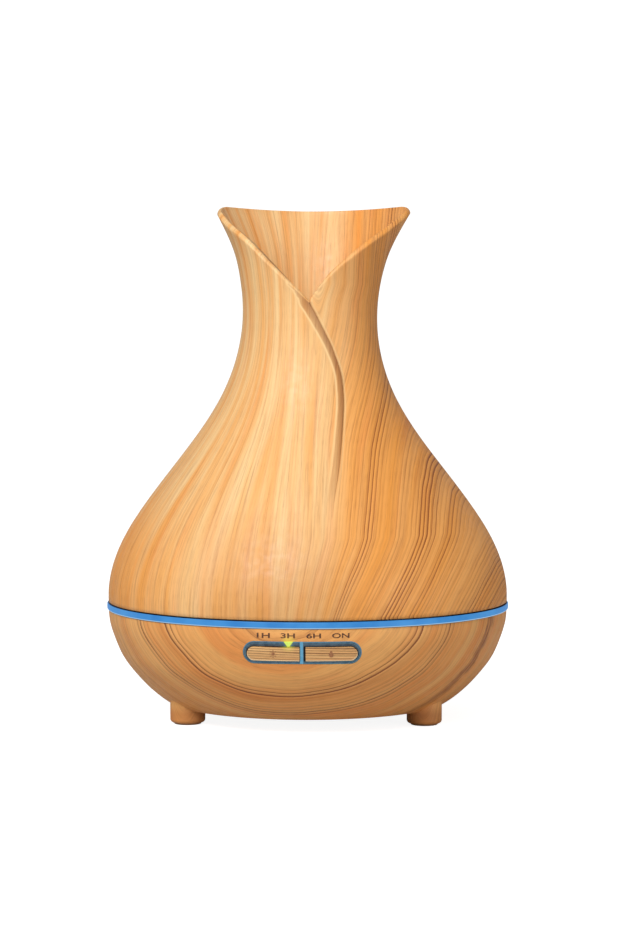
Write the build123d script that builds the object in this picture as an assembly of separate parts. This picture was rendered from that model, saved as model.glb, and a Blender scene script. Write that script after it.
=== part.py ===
from build123d import *
import os
from math import cos, hypot, pi, radians, sin, sqrt

# Aroma diffuser: a lidded water basin on a round base, under a tall vase-shaped cover.
# Frame: origin on the floor under the centre, +Z up, the button panel faces -Y.
# All sizes are in millimetres.

# ---------------------------------------------------------------- driving dimensions
RING_RADIUS = 84.0          # widest point of the object
RING_BOTTOM = 45.3
RING_TOP = 47.9
TOTAL_HEIGHT = 213.2
COVER_BOTTOM = 48.3
COVER_WALL = 2.2
SHELL_TOP = 45.1
SHELL_WALL = 2.3
SHELL_FLOOR = 6.0
LEDGE_TOP = 42.0            # ledge inside the base that carries the light ring
FIT_GAP = 0.3               # gap kept between pieces that move against each other
RUNNING_FIT = 0.05          # radial clearance of a shaft or shank in its hole

# Outline of the cover, as (radius, height), from the rim above the light ring to the mouth
COVER_OUTLINE = [
    (83.4, COVER_BOTTOM), (82.3, 60.7), (77.7, 73.3), (70.1, 86.0), (51.1, 111.2),
    (35.2, 136.3), (28.4, 161.4), (28.3, 174.0), (30.2, 186.4), (34.6, 200.0),
    (40.9, TOTAL_HEIGHT),
]
# Outline of the base, from its rim down to the edge of its flat underside
BASE_OUTLINE = [
    (83.3, SHELL_TOP), (82.85, 40.0), (80.7, 33.0), (77.6, 26.0), (72.5, 19.0),
    (65.8, 12.0), (57.6, SHELL_FLOOR),
]

# Mouth edge of the cover seen from the front, as (x, height): two petals meet in a low notch
NOTCH_LEFT = [(-41.6, 213.4), (-32.6, 201.6), (-16.8, 188.6), (-7.6, 180.6), (-0.6, 173.4)]
NOTCH_RIGHT = [(-0.6, 173.4), (2.4, 180.0), (7.3, 186.0), (16.0, 193.8), (33.0, 204.4), (41.6, 213.4)]

# Shallow channel beside the lapped edge of the left petal, as (x, height), fading out at the foot
LAP_LEFT = [(-1.6, 178.0), (2.6, 163.0), (7.4, 149.5), (10.2, 138.0), (10.4, 118.0), (9.6, 96.0)]
LAP_WIDTHS = [2.0, 2.2, 2.4, 2.4, 2.0, 1.2]
LAP_DEPTH = 0.8

# Feet
FOOT_PITCH = 56.0
FOOT_RADIUS = 7.2
FOOT_BOTTOM = 0.6
FOOT_ROUNDING = 1.4
FOOT_ANGLES = (-150.0, -30.0, 90.0)
PAD_RADIUS = 5.6
PAD_HEIGHT = 1.6

# Bottom plate
PLATE_RADIUS = 48.0
PLATE_BOTTOM = 5.4
PLATE_TOP = 7.6
LIP_RADIUS = 46.6
LIP_TOP = 9.4

# Water basin
BASIN_FLOOR = 22.0          # underside of the basin
BASIN_WALL = 2.0
BASIN_TOP = 60.0
BASIN_RADIUS = 74.2
BASIN_OUTLINE = [(56.0, BASIN_FLOOR), (64.3, 26.5), (67.0, 33.5), (67.4, 40.5), (70.4, 44.4)]
FLANGE_BOTTOM = 46.4
FLANGE_TOP = 48.0
FLANGE_RADIUS = 80.5
BOSS_X = 25.0
BOSS_Y = 33.0
BOSS_RADIUS = 3.5

# Ultrasonic disc under the well in the middle of the basin
WELL_FLOOR = 19.0
WELL_HOLE = 8.6
DISC_RADIUS = 9.95
DISC_BOTTOM = 17.0
DISC_THICK = 1.16
SEAL_RADIUS = 12.3
RETAINER_TOP = 15.4
RETAINER_THICK = 1.8
RETAINER_RADIUS = 18.5
RETAINER_PITCH = 15.5
RETAINER_ANGLES = (60.0, 180.0, 300.0)

# Fan, air duct and outlet tower
FAN_X = -33.5
FAN_SIZE = 25.0
FAN_BOTTOM = 9.6
FAN_HEIGHT = 8.0
FAN_BORE = 11.8
FAN_SWEEP = 11.2            # radius of the blade tips
FAN_BLADES = 7
FAN_PITCH_ANGLE = 38.0
FAN_PITCH = 10.0
FAN_TOP = FAN_BOTTOM + FAN_HEIGHT
DUCT_FLANGE = 1.2
DUCT_RADIUS = 10.6
DUCT_TOP = 20.8
TOWER_TOP = 56.0

# Circuit board in the base
BOARD_BOTTOM = 9.6
BOARD_TOP = 11.2
BOARD_LEFT = 20.5
BOARD_RIGHT = 52.0
BOARD_DEPTH = 48.0
BOARD_HOLES = [(24.0, -20.0), (24.0, 20.0), (39.0, -18.5), (39.0, 18.5)]
LEAD_HEIGHT = 12.6
LEAD_RADIUS = 0.7

# Light ring board
LED_BOARD_BOTTOM = 36.0
LED_BOARD_TOP = 37.2
LED_BOARD_INNER = 69.5
LED_BOARD_OUTER = 77.8
LED_PITCH = 74.6
LED_COUNT = 12
LED_ARC = 292.0             # the board leaves the front free for the button board

# Button panel
PANEL_HEIGHT = 35.7         # height of the panel's centre line
PANEL_LENGTH = 46.0
PANEL_WIDTH = 8.8
PANEL_SHIFT = -0.45         # the buttons sit a little under the middle of their frame
BUTTON_LENGTH = 20.6
BUTTON_HEIGHT = 5.7
DIVIDER = 1.4
BUTTON_PROUD = 0.15
BUTTON_DEPTH = 4.5
FRAME_DEPTH = 3.2
BUTTON_BOARD_FRONT = -71.6
BUTTON_BOARD_BACK = -70.0
BUTTON_BOARD_HALF = 29.5
BUTTON_BOARD_LOW = 31.5
BUTTON_BOARD_HIGH = 40.8
BUTTON_SCREW_X = 27.5
BUTTON_SCREW_Z = 36.0
SWITCH_X = 11.3
LAMP_PLACES = (-15.0, -5.3, 4.7, 15.0)
SWITCH_FRONT = -73.4
STEM_END = -74.6

# DC inlet in the back of the base
JACK_HEIGHT = 14.6
JACK_FACE = 59.0
JACK_WALL = 1.8
JACK_NOSE = 4.0
JACK_BORE = 2.8
JACK_PIN = 1.0
POCKET_RADIUS = 6.2


# ---------------------------------------------------------------- helpers
def offset_outline(points, distance):
    """Points of an outline moved sideways, inwards for a negative distance."""
    moved = []
    for i, (r, z) in enumerate(points):
        r0, z0 = points[max(i - 1, 0)]
        r1, z1 = points[min(i + 1, len(points) - 1)]
        length = hypot(r1 - r0, z1 - z0)
        side = distance if z1 > z0 else -distance
        moved.append((r + side * (z1 - z0) / length, z - side * (r1 - r0) / length))
    return moved


def rz(points):
    """Points on the XZ half plane that is turned about Z."""
    return [(r, 0, z) for r, z in points]


def turned(edges):
    """Solid of revolution about Z of a closed outline given as edges."""
    return revolve(make_face(Wire(edges)), Axis.Z, 360)


def turned_polygon(points):
    """Solid of revolution about Z of a polygon of (radius, height) points."""
    return revolve(make_face(Polyline(*rz(points), close=True)), Axis.Z, 360)


def ring(inner, outer, low, high):
    """Plain ring about Z."""
    return turned_polygon([(inner, low), (outer, low), (outer, high), (inner, high)])


def filled(outline):
    """Solid of revolution from the axis out to a smooth outline."""
    curve = Spline(*rz(outline))
    start, end = outline[0], outline[-1]
    return turned([
        curve,
        Line((end[0], 0, end[1]), (0, 0, end[1])),
        Line((0, 0, end[1]), (0, 0, start[1])),
        Line((0, 0, start[1]), (start[0], 0, start[1])),
    ])


def between(outer, inner):
    """Solid of revolution between two smooth outlines with level ends."""
    return turned([
        Spline(*rz(outer)),
        Line((outer[-1][0], 0, outer[-1][1]), (inner[-1][0], 0, inner[-1][1])),
        Spline(*rz(inner)),
        Line((inner[0][0], 0, inner[0][1]), (outer[0][0], 0, outer[0][1])),
    ])


def post(radius, x, y, low, high):
    """Upright cylinder."""
    return Pos(x, y, (low + high) / 2) * Cylinder(radius, high - low)


def rod(radius, x, z, front, back):
    """Cylinder along Y."""
    return Pos(x, (front + back) / 2, z) * Rot(90, 0, 0) * Cylinder(radius, back - front)


def block(x0, x1, y0, y1, z0, z1):
    """Box between two corners."""
    size = Box(x1 - x0, y1 - y0, z1 - z0)
    return Pos((x0 + x1) / 2, (y0 + y1) / 2, (z0 + z1) / 2) * size


def front_prism(face, front=-95.0, back=-60.0):
    """Prism along Y of a face drawn as (x, z), used to cut the front of the base."""
    return Pos(0, back, 0) * extrude(Plane.XZ * face, back - front)


def polar(radius, angle):
    return radius * cos(radians(angle)), radius * sin(radians(angle))


def screw(x, y, seat, head_radius, head_height, shank_radius, tip, up=True):
    """Pan-head screw on a vertical axis: the head stands on its seat, the shank runs to the tip."""
    head_end = seat + head_height if up else seat - head_height
    head = post(head_radius, x, y, min(seat, head_end), max(seat, head_end))
    shank = post(shank_radius, x, y, min(seat, tip), max(seat, tip))
    edge = head.edges().filter_by(GeomType.CIRCLE).sort_by(Axis.Z)[-1 if up else 0]
    slot_z = head_end - 0.3 if up else head_end + 0.3
    cross = Pos(x, y, slot_z) * (Box(head_radius * 1.2, 0.7, 0.6) + Box(0.7, head_radius * 1.2, 0.6))
    return fillet(edge, head_height * 0.35) + shank - cross


def group(solids):
    """Separate solids that share one node."""
    return Compound(children=list(solids))


def write(name, shape):
    os.makedirs("parts", exist_ok=True)
    export_step(shape, f"parts/{name}.step")


# ---------------------------------------------------------------- cover
def mouth_cut():
    """Everything above the petals' edge on the front half of the mouth."""
    top = TOTAL_HEIGHT + 10
    left, right = NOTCH_LEFT, NOTCH_RIGHT
    outline = [
        Spline(*rz(left)),
        Spline(*rz(right)),
        Line((right[-1][0], 0, right[-1][1]), (60, 0, top)),
        Line((60, 0, top), (-60, 0, top)),
        Line((-60, 0, top), (left[0][0], 0, left[0][1])),
    ]
    return extrude(make_face(Wire(outline)), 60, dir=(0, -1, 0))


def lap_channel():
    """Shallow channel that leaves the left petal's edge standing over the right petal."""
    right = [(x + width, z) for (x, z), width in zip(LAP_LEFT, LAP_WIDTHS)]
    strip = make_face(Wire([
        Spline(*rz(LAP_LEFT)),
        Line(rz(LAP_LEFT)[-1], rz(right)[-1]),
        Spline(*rz(right)),
        Line(rz(right)[0], rz(LAP_LEFT)[0]),
    ]))
    prism = extrude(strip, 90, dir=(0, -1, 0))
    layer = between(offset_outline(COVER_OUTLINE, 3.0), offset_outline(COVER_OUTLINE, -LAP_DEPTH))
    return prism & layer


def cover_shell():
    inner = offset_outline(COVER_OUTLINE, -COVER_WALL)
    inner[0] = (inner[0][0], COVER_BOTTOM)
    inner[-1] = (inner[-1][0], TOTAL_HEIGHT)
    shell = between(COVER_OUTLINE, inner)
    spigot = turned_polygon([
        (79.2, 48.5), (80.4, 48.5), (80.4, 50.6), (82.0, 51.4), (82.0, 53.0), (79.2, 53.0),
    ])
    return shell + spigot - mouth_cut() - lap_channel()


def mist_funnel():
    """White chimney that gathers the mist over the basin and leads it up the neck."""
    outer = [(41.0, 68.0), (40.2, 73.0), (26.0, 92.0), (17.2, 106.0), (15.8, 116.0), (15.8, 153.0)]
    wall = 1.8
    tube = turned_polygon(outer + [(15.8 - wall, 153.0), (15.8 - wall, 116.0), (17.2 - wall, 106.6),
                                   (26.0 - wall, 93.0), (40.2 - wall, 74.0), (41.0 - wall, 68.0)])
    dish = turned_polygon([
        (14.0, 152.0), (24.0, 158.0), (26.2, 158.0), (25.7, 166.0), (24.2, 166.0), (24.2, 159.6),
        (14.0, 154.0),
    ])
    return tube + dish


# ---------------------------------------------------------------- base housing
def outer_body():
    return filled(BASE_OUTLINE)


def cavity():
    inner = offset_outline(BASE_OUTLINE, -SHELL_WALL)
    inner[0] = (inner[0][0], SHELL_TOP)
    inner[-1] = (inner[-1][0], SHELL_FLOOR + SHELL_WALL)
    return filled(inner)


def base_rib(angle):
    """Rib that carries the light ring's board."""
    return Rot(0, 0, angle) * block(75.0, 84.0, -1.5, 1.5, 31.0, LED_BOARD_BOTTOM)


def panel_slot(grow):
    return front_prism(Pos(0, PANEL_HEIGHT) * SlotOverall(PANEL_LENGTH + 2 * grow, PANEL_WIDTH + 2 * grow))


def base_shell():
    body = outer_body()
    feet = Part()
    recess = Part()
    for angle in FOOT_ANGLES:
        x, y = polar(FOOT_PITCH, angle)
        foot = post(FOOT_RADIUS, x, y, FOOT_BOTTOM, 14.0)
        foot = fillet(foot.edges().sort_by(Axis.Z)[0], FOOT_ROUNDING)
        feet += foot
        recess += post(PAD_RADIUS + 0.1, x, y, 0, PAD_HEIGHT)
    inside = cavity()
    lip = ring(LIP_RADIUS, PLATE_RADIUS + 3.0, SHELL_FLOOR, LIP_TOP)
    ledge = ring(78.7, 82.0, LEDGE_TOP - 1.1, LEDGE_TOP)
    ribs = Part()
    for i in range(6):
        ribs += base_rib(-50 + i * 56)
    bosses = Part()
    for x in (-BUTTON_SCREW_X, BUTTON_SCREW_X):
        bosses += rod(2.2, x, BUTTON_SCREW_Z, -83.0, BUTTON_BOARD_FRONT)
    socket_wall = rod(POCKET_RADIUS + JACK_WALL, 0, JACK_HEIGHT, JACK_FACE, 80.0)
    within = ledge + ribs + bosses + socket_wall
    shell = body + feet - inside + lip + (within & body)
    shell -= post(PLATE_RADIUS + 0.3, 0, 0, 0, PLATE_TOP)
    shell -= post(LIP_RADIUS, 0, 0, 0, LIP_TOP + 1)
    shell -= recess
    shell -= panel_slot(0.2)
    shell -= rod(POCKET_RADIUS, 0, JACK_HEIGHT, JACK_FACE + JACK_WALL, 90.0)
    shell -= rod(JACK_NOSE + RUNNING_FIT, 0, JACK_HEIGHT, JACK_FACE - 1, 90.0)
    for x in (-BUTTON_SCREW_X, BUTTON_SCREW_X):
        shell -= rod(0.95, x, BUTTON_SCREW_Z, -75.4, BUTTON_BOARD_FRONT + 1)
    return shell


def foot_pads():
    pads = []
    for angle in FOOT_ANGLES:
        x, y = polar(FOOT_PITCH, angle)
        pad = post(PAD_RADIUS, x, y, 0, PAD_HEIGHT)
        pads.append(fillet(pad.edges().sort_by(Axis.Z)[0], 0.4))
    return group(pads)


def bottom_plate():
    """Round plate with the fan's grille and the standoffs for the fan and the board."""
    plate = post(PLATE_RADIUS, 0, 0, PLATE_BOTTOM, PLATE_TOP)
    for x, y in BOARD_HOLES:
        plate += post(2.2, x, y, PLATE_TOP, BOARD_BOTTOM)
    for x, y in fan_corners():
        plate += post(1.8, x, y, PLATE_TOP, FAN_BOTTOM)
    for x, y in BOARD_HOLES:
        plate -= post(1.15, x, y, PLATE_BOTTOM + 1.0, BOARD_BOTTOM)
    for x, y in fan_corners():
        plate -= post(1.25, x, y, PLATE_BOTTOM + 1.0, FAN_BOTTOM)
    for x, y in housing_corners():
        plate -= post(1.7, x, y, PLATE_BOTTOM, PLATE_TOP)
    grille = Part()
    for i in range(-3, 4):
        y = i * 3.2
        half = sqrt(11.2 ** 2 - y ** 2)
        grille += Pos(FAN_X, y, (PLATE_BOTTOM + PLATE_TOP) / 2) * extrude(
            SlotOverall(2 * half, 1.8), PLATE_TOP - PLATE_BOTTOM, both=True)
    return plate - grille


def housing_corners():
    return [(x, y) for x in (-BOSS_X, BOSS_X) for y in (-BOSS_Y, BOSS_Y)]


def fan_corners():
    return [(FAN_X + dx, dy) for dx in (-FAN_PITCH, FAN_PITCH) for dy in (-FAN_PITCH, FAN_PITCH)]


def housing_screws():
    return group(screw(x, y, PLATE_BOTTOM, 2.7, 1.8, 1.45, 15.0, up=False) for x, y in housing_corners())


# ---------------------------------------------------------------- light ring
def light_ring():
    """Translucent band with a leg on the shell's ledge and a lip that gathers light from below."""
    band = turned_polygon([
        (80.2, RING_BOTTOM), (RING_RADIUS - 0.3, RING_BOTTOM), (RING_RADIUS, RING_BOTTOM + 0.4),
        (RING_RADIUS, RING_TOP - 0.4), (RING_RADIUS - 0.3, RING_TOP), (80.9, RING_TOP),
        (80.9, FLANGE_BOTTOM), (80.2, FLANGE_BOTTOM),
    ])
    leg = ring(78.9, 80.3, LEDGE_TOP, FLANGE_BOTTOM)
    lip = ring(74.8, 79.0, LEDGE_TOP + 0.6, LEDGE_TOP + 2.4)
    return band + leg + lip


def led_angles():
    step = LED_ARC / (LED_COUNT - 1)
    return [90 - LED_ARC / 2 + i * step for i in range(LED_COUNT)]


def ring_led_board():
    board = ring(LED_BOARD_INNER, LED_BOARD_OUTER, LED_BOARD_BOTTOM, LED_BOARD_TOP)
    return board - block(-33, 33, -90, -50, LED_BOARD_BOTTOM - 1, LED_BOARD_TOP + 1)


def ring_leds():
    leds = []
    for angle in led_angles():
        body = block(-1.75, 1.75, -1.75, 1.75, LED_BOARD_TOP, LED_BOARD_TOP + 1.4)
        lens = post(1.3, 0, 0, LED_BOARD_TOP + 1.4, LED_BOARD_TOP + 1.8)
        leds.append(Rot(0, 0, angle) * Pos(LED_PITCH, 0, 0) * (body + lens))
    return group(leds)


# ---------------------------------------------------------------- water basin
def basin_profile(inset):
    """Closed basin outline from the axis: floor, bowl, shoulder and upright wall."""
    low = BASIN_FLOOR + inset
    bowl = offset_outline(BASIN_OUTLINE[::-1], -inset)[::-1]
    bowl[0] = (BASIN_OUTLINE[0][0], low)
    bowl[-1] = (BASIN_OUTLINE[-1][0] - inset * 0.8, BASIN_OUTLINE[-1][1] + inset * 0.6)
    wall = BASIN_RADIUS - inset
    shoulder = FLANGE_BOTTOM + 0.6
    return [
        Spline(*rz(bowl)),
        Line((bowl[-1][0], 0, bowl[-1][1]), (wall, 0, shoulder)),
        Line((wall, 0, shoulder), (wall, 0, BASIN_TOP + inset)),
        Line((wall, 0, BASIN_TOP + inset), (0, 0, BASIN_TOP + inset)),
        Line((0, 0, BASIN_TOP + inset), (0, 0, low)),
        Line((0, 0, low), (bowl[0][0], 0, low)),
    ]


def water_tank():
    body = turned(basin_profile(0.0))
    body += ring(60.0, FLANGE_RADIUS, FLANGE_BOTTOM, FLANGE_TOP)
    well = turned_polygon([
        (0, WELL_FLOOR), (14.4, WELL_FLOOR), (20.0, BASIN_FLOOR), (20.0, BASIN_FLOOR + 1), (0, BASIN_FLOOR + 1),
    ])
    body += well
    body -= turned(basin_profile(BASIN_WALL))
    body -= turned_polygon([
        (0, WELL_FLOOR + 2), (13.0, WELL_FLOOR + 2), (18.6, BASIN_FLOOR + 2), (18.6, 30.0), (0, 30.0),
    ])
    skirt = ring(SEAL_RADIUS + 0.1, 14.4, RETAINER_TOP, WELL_FLOOR + 0.5)
    tower = Pos(FAN_X, 0, (BASIN_FLOOR + TOWER_TOP) / 2) * Cone(11.6, 9.6, TOWER_TOP - BASIN_FLOOR)
    body += skirt + tower
    for angle in RETAINER_ANGLES:
        x, y = polar(RETAINER_PITCH, angle)
        body += post(2.6, x, y, RETAINER_TOP, WELL_FLOOR + 1.0)
    for x, y in housing_corners():
        body += post(BOSS_RADIUS, x, y, PLATE_TOP, BASIN_FLOOR + 1.0)
    body -= post(SEAL_RADIUS + 0.1, 0, 0, RETAINER_TOP - 1, WELL_FLOOR)
    body -= post(WELL_HOLE, 0, 0, RETAINER_TOP, 30.0)
    body -= Pos(FAN_X, 0, (BASIN_FLOOR + TOWER_TOP) / 2) * Cone(9.6, 7.6, TOWER_TOP - BASIN_FLOOR + 0.2)
    for angle in RETAINER_ANGLES:
        x, y = polar(RETAINER_PITCH, angle)
        body -= post(1.1, x, y, RETAINER_TOP - 1, WELL_FLOOR - 0.5)
    for x, y in housing_corners():
        body -= post(1.5, x, y, PLATE_TOP - 1, 16.5)
    return body


def air_outlet_hood():
    """Cap on the tower: keeps water out and turns the air towards the middle."""
    low, high = TOWER_TOP, TOWER_TOP + 5.0
    hood = post(9.6, FAN_X, 0, low, high)
    hood -= post(7.6, FAN_X, 0, low, high - 1.4)
    hood -= block(FAN_X + 2.0, FAN_X + 12.0, -5.5, 5.5, low + 0.8, high - 1.4)
    return fillet(hood.edges().filter_by(GeomType.CIRCLE).sort_by(Axis.Z)[-1], 0.8)


# ---------------------------------------------------------------- ultrasonic disc
def ultrasonic_disc():
    disc = post(DISC_RADIUS, 0, 0, DISC_BOTTOM, DISC_BOTTOM + DISC_THICK)
    electrode = post(6.5, 0, 0, DISC_BOTTOM - 0.1, DISC_BOTTOM)
    return disc + electrode


def disc_seal():
    body = ring(8.4, SEAL_RADIUS, RETAINER_TOP, WELL_FLOOR)
    return body - ring(8.0, DISC_RADIUS + RUNNING_FIT, DISC_BOTTOM - 0.02, DISC_BOTTOM + DISC_THICK + 0.02)


def disc_retainer():
    low = RETAINER_TOP - RETAINER_THICK
    plate = ring(7.6, RETAINER_RADIUS, low, RETAINER_TOP)
    for angle in RETAINER_ANGLES:
        x, y = polar(RETAINER_PITCH, angle)
        plate -= post(1.2, x, y, low, RETAINER_TOP)
    return plate


def retainer_screws():
    low = RETAINER_TOP - RETAINER_THICK
    places = [polar(RETAINER_PITCH, angle) for angle in RETAINER_ANGLES]
    return group(screw(x, y, low, 2.0, 1.3, 1.05, WELL_FLOOR - 0.8, up=False) for x, y in places)


# ---------------------------------------------------------------- fan and duct
def fan_frame():
    half = FAN_SIZE / 2
    frame = block(FAN_X - half, FAN_X + half, -half, half, FAN_BOTTOM, FAN_TOP)
    frame = fillet(frame.edges().filter_by(Axis.Z), 2.0)
    frame -= post(FAN_BORE, FAN_X, 0, FAN_BOTTOM, FAN_TOP)
    for angle in (45, 135, 225, 315):
        strut = block(0, FAN_BORE + 0.8, -0.8, 0.8, FAN_BOTTOM, FAN_BOTTOM + 1.0)
        frame += Pos(FAN_X, 0, 0) * Rot(0, 0, angle) * strut
    frame += post(6.0, FAN_X, 0, FAN_BOTTOM, FAN_BOTTOM + 1.0)
    frame += post(2.6, FAN_X, 0, FAN_BOTTOM + 1.0, FAN_BOTTOM + 5.0)
    frame -= post(2.0, FAN_X, 0, FAN_BOTTOM + 0.4, FAN_TOP)
    for x, y in fan_corners():
        frame -= post(1.35, x, y, FAN_BOTTOM, FAN_TOP)
    return frame


def fan_bearing():
    return Pos(FAN_X, 0, 0) * ring(0.8, 1.98, FAN_BOTTOM + 1.0, FAN_BOTTOM + 5.0)


def fan_coil():
    """Wound stator with four poles round the bearing tube."""
    low, high = FAN_BOTTOM + 1.4, FAN_BOTTOM + 4.6
    coil = ring(2.65, 3.5, low, high)
    for angle in (0, 90, 180, 270):
        coil += Rot(0, 0, angle) * block(3.2, 4.9, -1.6, 1.6, low + 0.4, high - 0.4)
    return Pos(FAN_X, 0, 0) * coil


def fan_rotor():
    """Hub with its shaft and seven pitched blades."""
    low, high = FAN_BOTTOM + 1.5, FAN_TOP - 0.6
    hub = post(6.4, 0, 0, low, high) - post(5.4, 0, 0, low, high - 0.9)
    shaft = post(0.8 - RUNNING_FIT, 0, 0, FAN_BOTTOM + 1.3, high - 0.5)
    rotor = hub + shaft
    for i in range(FAN_BLADES):
        blade = Pos(8.5, 0, (low + high) / 2) * Rot(FAN_PITCH_ANGLE, 0, 0) * Box(5.2, 0.8, 5.6)
        rotor += Rot(0, 0, i * 360 / FAN_BLADES) * blade
    rotor &= post(FAN_SWEEP, 0, 0, low - 0.2, high) + shaft
    return Pos(FAN_X, 0, 0) * rotor


def air_duct():
    half = FAN_SIZE / 2
    duct = block(FAN_X - half, FAN_X + half, -half, half, FAN_TOP, FAN_TOP + DUCT_FLANGE)
    duct = fillet(duct.edges().filter_by(Axis.Z), 2.0)
    duct += post(DUCT_RADIUS + 1.0, FAN_X, 0, FAN_TOP + DUCT_FLANGE, DUCT_TOP)
    duct -= post(DUCT_RADIUS, FAN_X, 0, FAN_TOP, DUCT_TOP)
    for x, y in fan_corners():
        duct -= post(1.35, x, y, FAN_TOP, DUCT_TOP)
        duct -= post(2.4, x, y, FAN_TOP + DUCT_FLANGE, DUCT_TOP)
    return duct


def duct_gasket():
    return Pos(FAN_X, 0, 0) * ring(9.8, DUCT_RADIUS + 1.6, DUCT_TOP, BASIN_FLOOR)


def fan_screws():
    seat = FAN_TOP + DUCT_FLANGE
    return group(screw(x, y, seat, 2.1, 1.3, 1.2, PLATE_TOP, up=True) for x, y in fan_corners())


# ---------------------------------------------------------------- main board
def main_board():
    half = BOARD_DEPTH / 2
    board = block(BOARD_LEFT, BOARD_RIGHT, -half, half, BOARD_BOTTOM, BOARD_TOP)
    board = chamfer(board.edges().filter_by(Axis.Z).sort_by(Axis.X)[-2:], 4.0)
    for x, y in BOARD_HOLES:
        board -= post(1.3, x, y, BOARD_BOTTOM, BOARD_TOP)
    return board


def board_screws():
    return group(screw(x, y, BOARD_TOP, 2.1, 1.3, 1.1, PLATE_BOTTOM + 1.6) for x, y in BOARD_HOLES)


def controller_chip():
    """Sixteen-pin controller with its gull-wing leads."""
    x, y = 42.0, 4.0
    chip = block(x - 2.0, x + 2.0, y - 5.0, y + 5.0, BOARD_TOP + 0.2, BOARD_TOP + 1.8)
    for i in range(8):
        pin_y = y - 4.45 + i * 1.27
        chip += block(x - 3.1, x + 3.1, pin_y - 0.2, pin_y + 0.2, BOARD_TOP, BOARD_TOP + 0.5)
    return chip


def power_inductor():
    x, y = 32.0, 7.5
    coil = post(4.6, x, y, BOARD_TOP + 0.8, BOARD_TOP + 4.8)
    return post(3.2, x, y, BOARD_TOP, BOARD_TOP + 6.0) + coil + post(4.9, x, y, BOARD_TOP, BOARD_TOP + 0.8)


def capacitors():
    cans = []
    for x, y, radius, height in ((45.0, -12.0, 3.15, 8.4), (46.5, 15.0, 2.5, 7.0)):
        can = post(radius, x, y, BOARD_TOP, BOARD_TOP + height)
        cans.append(fillet(can.edges().filter_by(GeomType.CIRCLE).sort_by(Axis.Z)[-1], 0.5))
    return group(cans)


def heat_sink():
    """Aluminium fin plate beside the driver transistor."""
    low = BOARD_TOP
    sink = block(28.0, 38.0, -5.8, -4.6, low, low + 9.0)
    for i in range(5):
        x = 28.6 + i * 2.2
        sink += block(x - 0.4, x + 0.4, -4.6, -1.6, low, low + 9.0)
    return sink


def power_transistor():
    low = BOARD_TOP
    case = block(29.5, 36.5, -8.0, -5.8, low + 3.0, low + 8.4)
    for i in range(3):
        x = 31.0 + i * 2.0
        case += block(x - 0.35, x + 0.35, -7.2, -6.7, low, low + 3.0)
    return case


HEADER_LENGTH = 5.5
HEADER_PLACES = [
    (BOARD_LEFT, -6.0, 180), (BOARD_LEFT, -14.0, 180), (BOARD_LEFT, 14.0, 180),
    (34.0, -BOARD_DEPTH / 2, -90), (BOARD_RIGHT, 0.0, 0),
]
LEAD_END = BOARD_LEFT - 0.3


def wire_headers():
    """Side-entry plugs at the board's edges, one for each lead."""
    headers = []
    for x, y, facing in HEADER_PLACES:
        body = block(-HEADER_LENGTH, 0, -2.4, 2.4, BOARD_TOP, BOARD_TOP + 3.2)
        body -= block(-HEADER_LENGTH + 1.2, -1.6, -1.6, 1.6, BOARD_TOP + 2.4, BOARD_TOP + 3.2)
        headers.append(Pos(x, y, 0) * Rot(0, 0, facing) * body)
    return group(headers)


# ---------------------------------------------------------------- leads
def lead(points, radii):
    """Round lead along straight runs joined by arcs, its volume checked against its length."""
    path = FilletPolyline(*points, radius=radii)
    start = Plane(origin=path @ 0, z_dir=path % 0)
    tube = sweep(start * Circle(LEAD_RADIUS), path=path)
    expected = pi * LEAD_RADIUS ** 2 * path.length
    print(f"lead length {path.length:.1f}, radii {radii}, volume ratio {tube.volume / expected:.4f}")
    return tube


def disc_lead():
    return lead([(0, 0, DISC_BOTTOM - 0.1), (0, 0, LEAD_HEIGHT), (LEAD_END, -6.0, LEAD_HEIGHT)], [4.0])


def fan_lead():
    return lead([
        (FAN_X + FAN_SIZE / 2 + 0.4, -9.0, LEAD_HEIGHT), (-11.0, -19.5, LEAD_HEIGHT), (6.0, -20.5, LEAD_HEIGHT),
        (LEAD_END, -14.0, LEAD_HEIGHT),
    ], [12.0, 16.0])


def socket_lead():
    return lead([
        (0, 44.8, 14.5), (0, 34.0, LEAD_HEIGHT + 0.4), (6.5, 21.5, LEAD_HEIGHT), (LEAD_END, 14.0, LEAD_HEIGHT),
    ], [10.0, 12.0])


def button_lead():
    return lead([
        (13.0, -70.8, 31.3), (13.0, -69.6, 23.5), (17.0, -60.0, 15.5), (26.0, -46.5, LEAD_HEIGHT),
        (34.0, -35.5, LEAD_HEIGHT), (34.0, -BOARD_DEPTH / 2, LEAD_HEIGHT),
    ], [7.0, 10.0, 14.0, 10.0])


def ring_led_lead():
    return lead([
        (73.0, 0.5, LED_BOARD_BOTTOM - 0.2), (72.5, 0, 26.5), (67.0, -0.5, 17.5), (60.0, 0, LEAD_HEIGHT),
        (BOARD_RIGHT, 0, LEAD_HEIGHT),
    ], [7.0, 8.0, 7.0])


# ---------------------------------------------------------------- button panel
def skin(low, high):
    """Shell that follows the base's surface, between two offsets from it."""
    outer = BASE_OUTLINE[:-1]
    return between(offset_outline(outer, high), offset_outline(outer, low))


def button_face(side, grow):
    """Outline of one button: rounded at the outer end, square at the divider."""
    height = BUTTON_HEIGHT + 2 * grow
    length = BUTTON_LENGTH + 2 * grow
    centre = side * (DIVIDER / 2 + FIT_GAP + BUTTON_LENGTH / 2)
    outline = Pos(centre, 0) * SlotOverall(length, height)
    outline += Pos(centre - side * length / 4, 0) * Rectangle(length / 2, height)
    return Pos(0, PANEL_HEIGHT + PANEL_SHIFT) * outline


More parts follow.
